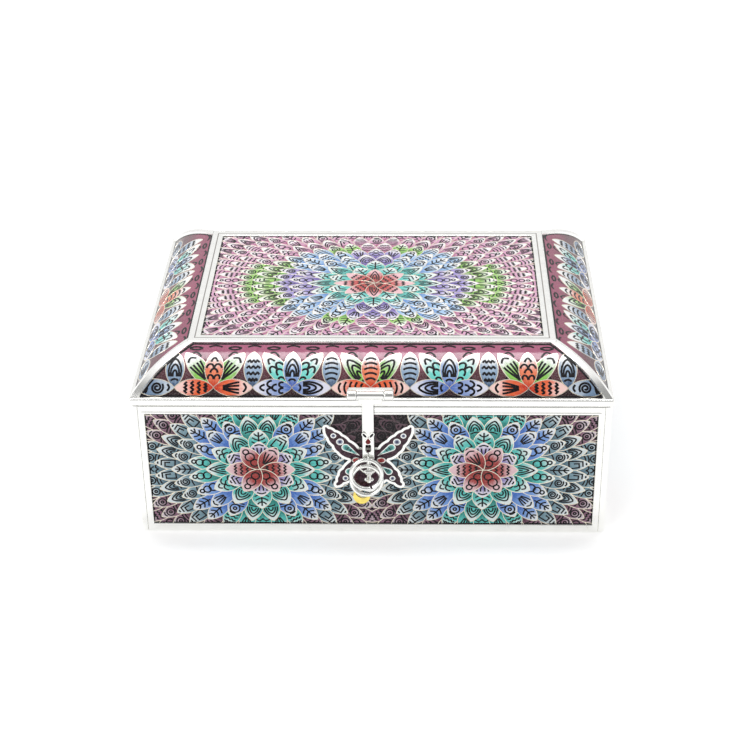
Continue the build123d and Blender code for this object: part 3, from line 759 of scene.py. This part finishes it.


# Case panels: two rosettes on the long sides, one on the short ones

# Where the case's petals are painted near black: painted shadow of the hasp
HASP_SHADE_WIDTH = 11.0
HASP_SHADE_FOOT = 37.5
CASE_CORE = (
    (0.0, 11.5, 6, False, 0.0),
    (1.0, 12.5, 6, True, 0.3),
    (6.0, 18.0, 12, False, 0.25),
)
CASE_LONG = (44.0, 1.15)
CASE_SHORT = (55.0, 1.25)
CASE_MIDDLE_BAND = 13.5
HASP_SHADE_RINGS = 3
CASE_BEAD_DISTANCE = 0.55


def case_colour(number, angle, tip, away):
    """Colours by ring near the heart, then by direction: slate along the middle and plum in the corners."""
    upright = abs(math.sin(angle))
    # Near-black petals under the hasp: painted shadow of the hasp, not the enamel's own colour.
    if abs(tip[0]) < HASP_SHADE_WIDTH and tip[1] > HASP_SHADE_FOOT and number > HASP_SHADE_RINGS:
        return PAINTED_HASP_SHADOW
    if number < 3:
        return (CASE_RED, LAVENDER, TEAL)[number]
    if number == 3:
        return CORNFLOWER if 0.35 < upright < 0.9 else TEAL
    if number == 4:
        return CORNFLOWER if 0.45 < upright < 0.88 else (TEAL if upright > 0.8 else SLATE)
    if number < 8 and abs(away[1]) < CASE_MIDDLE_BAND or number == 5 and upright < 0.8:
        return SLATE
    return PLUM_PETAL


def plain_case_colour(number, angle, tip, away):
    """The back and the short sides have no hasp, and so no petals darkened as its painted shadow."""
    return case_colour(number, angle, away - (0, HASP_SHADE_FOOT), away)


def dress_case_side(side):
    node = side + "_enamel"
    low, high = box_of(node)
    long_side = side in LONG_SIDES
    along, through = (0, 1) if long_side else (1, 0)
    half_length, thickness = high[along], high[through] - low[through]
    start = 0.0 if long_side else -half_length
    middle = np.array(((start + half_length) / 2, (low[2] + high[2]) / 2))
    drawing = box_drawing(start, half_length, low[2], high[2])
    colour_of = case_colour if side == "front" else plain_case_colour
    add_rings(drawing, middle, CASE_CORE, CASE_LONG if long_side else CASE_SHORT, colour_of)
    # A black line just inside the panel's edge: partly its outline, partly painted shade at the seam with
    # the frame.
    border = border_path(-half_length, half_length, low[2], high[2])
    dress_panel(node, drawing, flat_place(side, face_of(node, side)), thickness, [border], long_side)
    bead = border_path(-half_length, half_length, low[2], high[2], -CASE_BEAD_DISTANCE)
    place = flat_place(side, face_of(side + "_panel_frame", side))
    ridge(side + "_frame_bead", [bead], BEAD_SIZE, place, SILVER, "chest")


# Top panel

TOP_CORE = (
    (0.0, 12.0, 8, False, 0.0),
    (2.0, 14.5, 8, True, 0.3),
    (7.5, 20.0, 16, False, 0.25),
)
TOP_SIZE = (64.5, 1.35)
TOP_GROOVE = 2.1


def top_colour(number, angle, tip, away):
    lengthwise = abs(math.cos(angle))
    if number < 3:
        return (RED, TEAL, TEAL)[number]
    if number < 5:
        return SKY if (0.35 if number == 3 else 0.3) <= lengthwise <= 0.86 else PURPLE
    if number == 5 and 0.42 <= lengthwise <= 0.82:
        return SKY
    if number == 5 and lengthwise > 0.15:
        return GREEN
    if number == 6 and lengthwise > 0.9:
        return GREEN
    return PINK


def dress_top():
    low, high = box_of("lid_top_enamel")
    drawing = box_drawing(low[0], high[0], low[1], high[1])
    add_rings(drawing, np.zeros(2), TOP_CORE, TOP_SIZE, top_colour)

    def place(points, lift):
        return np.column_stack([points, np.full(len(points), high[2] + lift)]) * MM

    # A black line just inside the panel's edge: partly its outline, partly painted shade at the seam with
    # the frame.
    border = border_path(low[0], high[0], low[1], high[1])
    dress_panel("lid_top_enamel", drawing, place, high[2] - low[2], [border])
    top_frame = frame["nodes"]["lid_top_frame"].data
    top_frame.materials.clear()
    top_frame.materials.append(TOP_SILVER.material)
    # The top frame's groove is painted shade in its material.
    painted_groove_shade(TOP_SILVER, srgb(150, 146, 142), high[:2] * MM, TOP_GROOVE * MM)


# Curved lid panels: a chain of pointed ovals with fans and buds

SLOPE_RADIUS = 32.0
NODE_PITCH = 14.6
CHAIN_HEIGHT = 3.6
CHAIN_WIDTH = 6.6
LEAF_TOP = 18.6
LEAF_WIDTH = 7.0
SIDE_LEAF_REACH = 11.0
SIDE_LEAF_TOP = 18.0
SLOPE_STEP = 1.5
SLOPE_EDGE_INSET = 0.35
SLOPE_HEAD_INSET = 0.45
GROUND_WIDTH = 40.0
LONG_NODES = 5
SHORT_NODES = 3
# Linework on the ground: height of the ends, half width and rise
LENS = (20.4, 2.5, 0.75)
BROW = (21.0, 2.5, 0.75)
ARCH = (16.2, 2.2, 2.2)
FOOT_BOW = (6.6, 1.1, 1.6)


class Slope:
    """The arc of the lid's sides, worked out from the front panel's box and the rim's."""

    def __init__(self):
        panel_low, panel_high = box_of("lid_front_enamel")
        _, rim_high = box_of("lid_rim")
        self.half_spans = dict(front=rim_high[1], back=rim_high[1], left=rim_high[0], right=rim_high[0])
        foot = (rim_high[1] + panel_low[1], panel_low[2])
        head = (rim_high[1] + panel_high[1], panel_high[2])
        run, rise = head[0] - foot[0], head[1] - foot[1]
        chord = math.hypot(run, rise)
        reach = math.sqrt(SLOPE_RADIUS ** 2 - (chord / 2) ** 2)
        self.centre = ((foot[0] + head[0]) / 2 + rise / chord * reach,
                       (foot[1] + head[1]) / 2 - run / chord * reach)
        self.start = math.atan2(foot[1] - self.centre[1], self.centre[0] - foot[0])
        finish = math.atan2(head[1] - self.centre[1], self.centre[0] - head[0])
        self.length = SLOPE_RADIUS * (finish - self.start)
        self.rib_share = rim_high[0] - foot[0] - panel_high[0]

    def inset(self, t, lift=0.0):
        return self.centre[0] - (SLOPE_RADIUS + lift) * np.cos(self.start + t / SLOPE_RADIUS)

    def place(self, side):
        def at(points, lift):
            a, t = points.T
            height = self.centre[1] + (SLOPE_RADIUS + lift) * np.sin(self.start + t / SLOPE_RADIUS)
            return turn_to_side(side, a, self.half_spans[side] - self.inset(t, lift), height)
        return at

    def half_length(self, side, t):
        """Half the panel's length at t, between the ribs."""
        span = self.half_spans["left" if side in LONG_SIDES else "front"]
        return span - self.inset(t) - self.rib_share

    def outline(self, side, t, inset=0.0):
        """Up the right end of the panel and down its left end."""
        ends = self.half_length(side, t) - inset
        return np.vstack([np.stack([ends, t], 1), np.stack([-ends, t], 1)[::-1]])


def slope_drawing(slope, side):
    count = int(round(slope.length / SLOPE_STEP))
    outline = slope.outline(side, np.linspace(0, slope.length, count + 1))
    cuts = [(i, 2 * count + 1 - i) for i in range(1, count)]

    def on_panel(points):
        inside = np.abs(points[:, 0]) < slope.half_length(side, points[:, 1])
        return inside & (points[:, 1] > 0) & (points[:, 1] < slope.length)

    # The ground runs from maroon at the foot to rose at the head. The rose is partly painted reflection of
    # the light overhead.
    ground = Petal((0, 0), (0, slope.length), GROUND_WIDTH, MAROON if side in LONG_SIDES else SIDE_MAROON)
    return Drawing(outline, on_panel, ground, cuts)


def node_colours(number):
    """Colours of the side leaves, the middle leaf and the ovals that meet at an even node."""
    if number % 4 == 0:
        return FAN_GREEN, FAN_ORANGE, ORANGE
    return FAN_TEAL, FAN_BLUE, OVAL_BLUE


def add_border(drawing, nodes):
    """Nodes run from -nodes to nodes. Fans stand on the even ones and buds on the odd ones."""
    def leaf(foot, tip_x, tip_y, colours, motif):
        drawing.petals.append(Petal((foot, CHAIN_HEIGHT), (tip_x, tip_y), LEAF_WIDTH, colours, motif))

    for number in range(-nodes, nodes + 1):
        x = number * NODE_PITCH
        if number % 2:
            leaf(x, x, LEAF_TOP, BUD, number * number)
            continue
        side_colour, middle_colour, _ = node_colours(abs(number))
        for lean in (-1, 1):
            leaf(x, x + lean * SIDE_LEAF_REACH, SIDE_LEAF_TOP, side_colour, abs(number) + 3)
        leaf(x, x, LEAF_TOP, middle_colour, abs(number) + 1)
    for number in range(-nodes - 1, nodes + 1):
        even, odd = (number, number + 1) if number % 2 == 0 else (number + 1, number)
        colours = OVAL_SLATE if max(abs(even), abs(odd)) > nodes else node_colours(abs(even))[2]
        base, tip = ((n * NODE_PITCH, CHAIN_HEIGHT) for n in (even, odd))
        drawing.petals.append(Petal(base, tip, CHAIN_WIDTH, colours, abs(even) + abs(odd)))


def bow_path(x, y, half, rise):
    """A bowed line, its middle standing a rise above its ends."""
    return np.stack([x + half * BEND, y + rise * (1 - BEND ** 2)], 1)


def arch_lines(drawing, nodes):
    """Black lenses, brows and arches on the plain ground above the leaves, and small bows at their feet."""
    paths = []
    for number in range(-2 * nodes, 2 * nodes + 1):
        x = number * NODE_PITCH / 2
        if number % 2:
            paths += [bow_path(x, *LENS), bow_path(x, *LENS[:2], -LENS[2])]
        else:
            paths.append(bow_path(x, *BROW))
    for number in range(-nodes, nodes):
        x = (number + 0.5) * NODE_PITCH
        paths += [bow_path(x, *ARCH), bow_path(x, *FOOT_BOW)]
    return [run for path in paths for run in drawing.open_runs(path, 0)]


def dress_slope(slope, side, nodes):
    drawing = slope_drawing(slope, side)
    add_border(drawing, nodes)
    drawing.settle()
    place = slope.place(side)
    low, high = box_of("lid_top_enamel")
    node = "lid_" + side + "_enamel"
    arches_above = arch_lines(drawing, nodes)
    dress_panel(node, drawing, place, high[2] - low[2], arches_above, line_size=SLOPE_LINE_SIZE)
    # A black line round the panel's edge. Along its head it is painted shadow, under the top frame's
    # overhanging edge.
    t = np.linspace(SLOPE_EDGE_INSET, slope.length - SLOPE_HEAD_INSET, 16)
    edge = slope.outline(side, t, SLOPE_EDGE_INSET)
    edge = [np.vstack([edge, edge[:1]])]
    ridge(node + "_edge", edge, EDGE_LINE_SIZE, place, LINE, "lid")


# Butterfly cells

def cell_outline(middle, end, radius):
    """A round cell, or a drop from its point to a round end."""
    if end is None:
        angle = np.linspace(0, 2 * math.pi, 25)[:-1, None]
        return middle + np.hstack([np.cos(angle), np.sin(angle)]) * radius
    reach = np.array(end) - middle
    away = unit(reach)
    side = np.array((-away[1], away[0]))
    touch = math.pi - math.acos(radius[0] / np.linalg.norm(reach))
    angle = np.linspace(-touch, touch, 21)[:, None]
    arc = end + radius[0] * (np.cos(angle) * away + np.sin(angle) * side)
    share = np.linspace(0, 1, 6)[1:-1, None]
    return np.vstack([middle, middle + (arc[0] - middle) * share, arc, arc[-1] + (middle - arc[-1]) * share])


# Cells of the right wing: middle or point, a drop's round end, radius, look. The unit is half the span.
CELLS = (
    ((0.762, 0.643), None, (0.055, 0.055), "dot"),
    ((0.62, 0.488), None, (0.075, 0.075), "dot"),
    ((0.517, -0.464), None, (0.056, 0.056), "dot"),
    ((0.21, 0.144), (0.501, 0.344), (0.082,), "teal"),
    ((0.282, -0.155), (0.438, -0.288), (0.075,), "teal"),
    ((0.272, 0.008), None, (0.09, 0.066), "red"),
)
CELL_COLOURS = {
    "dot": (srgb(250, 250, 250), srgb(196, 206, 222), srgb(34, 42, 92)),
    "teal": (srgb(226, 248, 244), srgb(98, 196, 190), srgb(30, 120, 116)),
    "red": (srgb(240, 214, 206), srgb(190, 60, 56), srgb(160, 22, 24)),
}
CELL_RINGS = ((1.0, 0.0), (0.9, 0.16), (0.7, 0.28), (0.45, 0.36), (0.2, 0.4))
CELL_CROWN = 0.42
CELL_FADE = 1.35
FLECKS = ((0.62, 0.35), (0.85, 0.5))


def stack_faces(first, count, levels):
    """The faces between stacked loops of points, numbered from first."""
    return [(low + i, low + (i + 1) % count, low + count + (i + 1) % count, low + count + i)
            for low in range(first, first + (levels - 1) * count, count) for i in range(count)]


def dome(ring, place, first):
    """Points and faces of a dome over an outline, and for each corner the share of the way to the crown."""
    heart = ring.mean(0)
    count = len(ring)
    points = [place(heart + (ring - heart) * size, lift) for size, lift in CELL_RINGS]
    points = np.vstack([*points, place(heart[None], CELL_CROWN)])
    crown = first + len(points) - 1
    shares = [min(CELL_FADE * (1 - size), 1.0) for size, _ in CELL_RINGS]
    faces = stack_faces(first, count, len(CELL_RINGS))
    faces += [(crown - count + i, crown - count + (i + 1) % count, crown) for i in range(count)]
    faces.append([first + i for i in reversed(range(count))])
    places = [s for low, high in zip(shares, shares[1:]) for s in (low, low, high, high) * count]
    return points, faces, places + [shares[-1], shares[-1], 1.0] * count + [0.0] * count


def dress_butterfly():
    """Wire-rimmed domes of coloured glass in the place of the plain cells."""
    low, high = box_of("butterfly_cells")
    top_reach = CELLS[0][0][1] + CELLS[0][2][1]
    low_reach = CELLS[2][0][1] - CELLS[2][2][1]
    unit_length = (high[2] - low[2]) / (top_reach - low_reach)
    waist = high[2] - top_reach * unit_length
    middle_x = (low[0] + high[0]) / 2
    place = flat_place("front", face_of("butterfly_enamel", "front"))

    def on_wing(points, sign):
        return (points * unit_length + (0, waist)) * (sign, 1) + (middle_x, 0)

    vertices, faces, places, rims, flecks = [], [], [], [], []
    stops = ([], [], [])
    for middle, end, radius, look in CELLS:
        for sign in (1, -1):
            ring = on_wing(cell_outline(middle, end, radius), sign)[::sign]
            rims.append(np.vstack([ring, ring[:1]]))
            new_vertices, new_faces, new_places = dome(ring, place, len(vertices))
            vertices.extend(new_vertices)
            faces += new_faces
            places += new_places
            for stop in range(3):
                stops[stop].extend([CELL_COLOURS[look][stop]] * len(new_places))
        if end is not None:
            reach = np.array(end) - middle
            out = unit(np.array((-reach[1], reach[0]))) * radius[0]
            for share, half in FLECKS:
                at = middle + reach * share
                flecks += [on_wing(np.stack([at - out * half, at + out * half]), sign) for sign in (1, -1)]
    glass = new_piece("butterfly_cell_glass", vertices, faces, LID_ENAMEL, "chest", True)
    paint(glass, [(share, 0, 0) for share in places], stops)
    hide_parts("butterfly_cells")
    ridge("butterfly_cell_rims", rims, CELL_RIM_SIZE, place, FITTING, "chest")
    ridge("butterfly_cell_flecks", flecks, FLECK_SIZE, place, LINE, "chest")


# Enamel in the ornament of the strap

def thin_plates(name, outlines, lift, place, material):
    """Closed flat plates on the hasp, one for each outline, from just under a face up to a lift."""
    vertices = []
    faces = []
    for outline in outlines:
        first = len(vertices)
        count = len(outline)
        vertices.extend([*place(outline, -GLASS_SINK), *place(outline, lift)])
        faces += stack_faces(first, count, 2)
        faces.append([first + count + i for i in range(count)])
        faces.append([first + i for i in reversed(range(count))])
    return new_piece(name, vertices, faces, material, "hasp")


ORNAMENT_LOOP = (1.3, 4.1)
ORNAMENT_LOOP_SIZE = (0.45, 1.05)
ORNAMENT_TILT = math.radians(38)
LOOP_FILL_LIFT = 0.25
DROP_RISE = 1.3
DROP_RADIUS = 0.95
DROP_POINT = 1.65
DROP_TOUCH = math.radians(47)
GLASS_LIFT = 0.05
GLASS_SINK = 0.02


def dress_ornament():
    """Black inside the two loops, and red glass on the drop."""
    low, high = box_of("hasp_ornament")
    middle = np.array(((low[0] + high[0]) / 2, low[2]))
    angle = np.linspace(0, 2 * math.pi, 21)[:-1]
    cosine, sine = math.cos(ORNAMENT_TILT), math.sin(ORNAMENT_TILT)
    turn = np.array(((cosine, -sine), (sine, cosine)))
    loop = np.stack([np.cos(angle), np.sin(angle)], 1) * ORNAMENT_LOOP_SIZE @ turn + ORNAMENT_LOOP
    loops = [loop + middle, (loop * (-1, 1))[::-1] + middle]
    place = flat_place("front", -high[1])
    thin_plates("ornament_loop_fill", loops, LOOP_FILL_LIFT, place, LINE)
    share = np.linspace(0, 1, 7)[:-1, None]
    angle = np.linspace(DROP_TOUCH, -math.pi - DROP_TOUCH, 15)
    arc = DROP_RADIUS * np.stack([np.cos(angle), np.sin(angle)], 1)
    point = np.array((0.0, DROP_POINT))
    sides = [point + (arc[0] - point) * share, arc, (arc[-1] + (point - arc[-1]) * share)[1:]]
    drop = np.vstack(sides)[::-1] + middle + (0, DROP_RISE)
    place = flat_place("front", -low[1])
    thin_plates("ornament_drop_glass", [drop], GLASS_LIFT, place, DROP_RED)


# Velvet and felt

CUSHION_LAYERS = 6


def cushion(name, node, body, slot, edge, crown, cell):
    """A closed form in a CAD node's box: rounded edges, and a crown that swells or draws in its faces."""
    low, high = box_of(node)
    middle = (low + high) / 2
    half = (high - low) / 2
    thin = int(np.argmin(half))
    counts = [max(2, int(round(2 * h / cell))) for h in half]
    counts[thin] = CUSHION_LAYERS
    index = {}
    vertices = []
    faces = []

    def corner(grid):
        key = tuple(grid)
        if key not in index:
            share = np.array([2 * g / c - 1 for g, c in zip(grid, counts)])
            outer = share * half
            inner = np.clip(outer, -(half - edge), half - edge)
            away = outer - inner
            reach = np.linalg.norm(away)
            point = inner + (away / reach * edge if reach > 1e-9 else 0)
            point[thin] *= 1 + crown(share[[i for i in range(3) if i != thin]]) / half[thin]
            index[key] = len(vertices)
            vertices.append((middle + point) * MM)
        return index[key]

    for axis in range(3):
        u, v = [i for i in range(3) if i != axis]
        for end in (0, counts[axis]):
            for i in range(counts[u]):
                for j in range(counts[v]):
                    quad = []
                    for di, dj in ((0, 0), (1, 0), (1, 1), (0, 1)):
                        grid = [0, 0, 0]
                        grid[axis], grid[u], grid[v] = end, i + di, j + dj
                        quad.append(corner(grid))
                    outward = (end > 0) == (axis != 1)
                    faces.append(quad if outward else quad[::-1])
    piece = new_piece(name, vertices, faces, SLOT_MATERIALS[slot], body, smooth=True)
    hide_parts(node)


def dress_soft_parts():
    def pad_crown(share):
        rise = (1 - share[0] ** 4) * (1 - share[1] ** 4)
        ripple = math.sin(9 * share[0] + 2 * share[1]) * math.sin(7 * share[1] - 1)
        return 0.7 * rise + 0.06 * ripple * rise - 0.35

    def lining_crown(share):
        return 0.15 * (1 - share[0] ** 4) * (1 - share[1] ** 4) - 0.1

    def felt_crown(share):
        return 0.02 * math.sin(11 * share[0]) * math.sin(9 * share[1]) - 0.02

    cushion("velvet_floor_pad", "floor_pad", "chest", "velvet", 1.5, pad_crown, 4.0)
    cushion("velvet_lid_pad", "lid_pad", "lid", "velvet", 1.4, pad_crown, 4.0)
    for side in SIDES:
        node = side + "_lining"
        cushion("velvet_" + node, node, "chest", "velvet", 0.6, lining_crown, 4.0)
    cushion("felt_underside", "base_felt", "chest", "felt", 0.4, felt_crown, 6.0)


# Camera, floor and light. The camera is fitted to the corners of the lid and the case in the photograph.

IMAGE_PIXELS = 750
FOCAL_PIXELS = 1729.99
ELEVATION, YAW, ROLL = (math.radians(d) for d in (30.546, 1.752, -0.769))
CAMERA_AT = (18.50, -613.21, 392.91)
SENSOR_WIDTH = 36.0
FLOOR_SIZE = 4.0
FLOOR_COLOUR = (0.8, 0.8, 0.8, 1.0)
FLOOR_LIFT = 0.44
WORLD_LIGHT = 0.5
ROOM_DARKNESS = 0.36
DARK_FROM_HEIGHT = (0.06, 0.2)
DARK_FROM_DEPTH = (-0.3, -0.55)
# Name, position, what it points at, size and watts
LAMPS = (
    ("strip_overhead", (0.0, 0.19, 1.1), (0.0, -0.05, 0.07), 1.0, 0.24, 5.4),
    ("soft_front_left", (-0.9, -1.2, 0.9), (0.0, 0.0, 0.04), 0.8, 0.6, 7.0),
)


def make_camera():
    data = bpy.data.cameras.new("camera")
    data.sensor_width = SENSOR_WIDTH
    data.lens = FOCAL_PIXELS * SENSOR_WIDTH / IMAGE_PIXELS
    data.clip_start = 0.01
    data.clip_end = 50.0
    camera = add_object("camera", data)
    turns = (Matrix.Rotation(YAW, 4, "Z") @ Matrix.Rotation(math.pi / 2 - ELEVATION, 4, "X")
             @ Matrix.Rotation(ROLL, 4, "Z"))
    camera.matrix_world = Matrix.Translation(Vector(CAMERA_AT) * MM) @ turns
    bpy.context.scene.camera = camera


def make_floor():
    mesh = bpy.data.meshes.new("floor")
    corners = [(x * FLOOR_SIZE, y * FLOOR_SIZE, 0) for x, y in ((-1, -1), (1, -1), (1, 1), (-1, 1))]
    mesh.from_pydata(corners, [], [(0, 1, 2, 3)])
    g = Graph("pale_floor")
    lift = g.math("MULTIPLY", g.seen_ray(), FLOOR_LIFT)
    g.set(Base_Color=FLOOR_COLOUR, Roughness=0.9, Emission_Color=WHITE, Emission_Strength=lift)
    mesh.materials.append(g.material)
    add_object("floor", mesh)


def make_world():
    """White all round for the camera. Gloss shows a darker room in front and above, so edges stand out."""
    world = bpy.data.worlds.new("soft_room")
    world.use_nodes = True
    tree = Nodes(world.node_tree)
    _, depth, height = tree.add("SeparateXYZ", {0: tree.add("TexCoord").outputs["Generated"]}).outputs
    upward = tree.spread(height, *DARK_FROM_HEIGHT, smooth=True)
    frontal = tree.spread(depth, *DARK_FROM_DEPTH, 0.0, upward, smooth=True)
    gloss = tree.spread(frontal, 0.0, 1.0, 1.0, ROOM_DARKNESS)
    seen = tree.spread(tree.add("LightPath").outputs["Is Glossy Ray"], 0.0, 1.0, 1.0, gloss)
    strength = tree.spread(tree.seen_ray(), 0.0, 1.0, WORLD_LIGHT, seen)
    background = tree.add("Background", {"Color": WHITE, "Strength": strength})
    tree.add("OutputWorld", {"Surface": background.outputs[0]})
    bpy.context.scene.world = world


def make_light():
    for name, position, aim, size_x, size_y, power in LAMPS:
        data = bpy.data.lights.new(name, "AREA")
        data.shape, data.size, data.size_y, data.energy = "RECTANGLE", size_x, size_y, power
        lamp = add_object(name, data)
        lamp.location = position
        lamp.rotation_euler = (Vector(aim) - Vector(position)).to_track_quat("-Z", "Y").to_euler()
    bpy.context.scene.view_settings.view_transform = "Standard"


# The whole scene

make_camera()
finish_cad_nodes()
for case_side in SIDES:
    dress_case_side(case_side)
dress_top()
lid_slope = Slope()
for lid_side in SIDES:
    dress_slope(lid_slope, lid_side, LONG_NODES if lid_side in LONG_SIDES else SHORT_NODES)
dress_butterfly()
dress_ornament()
dress_soft_parts()
make_floor()
make_world()
make_light()
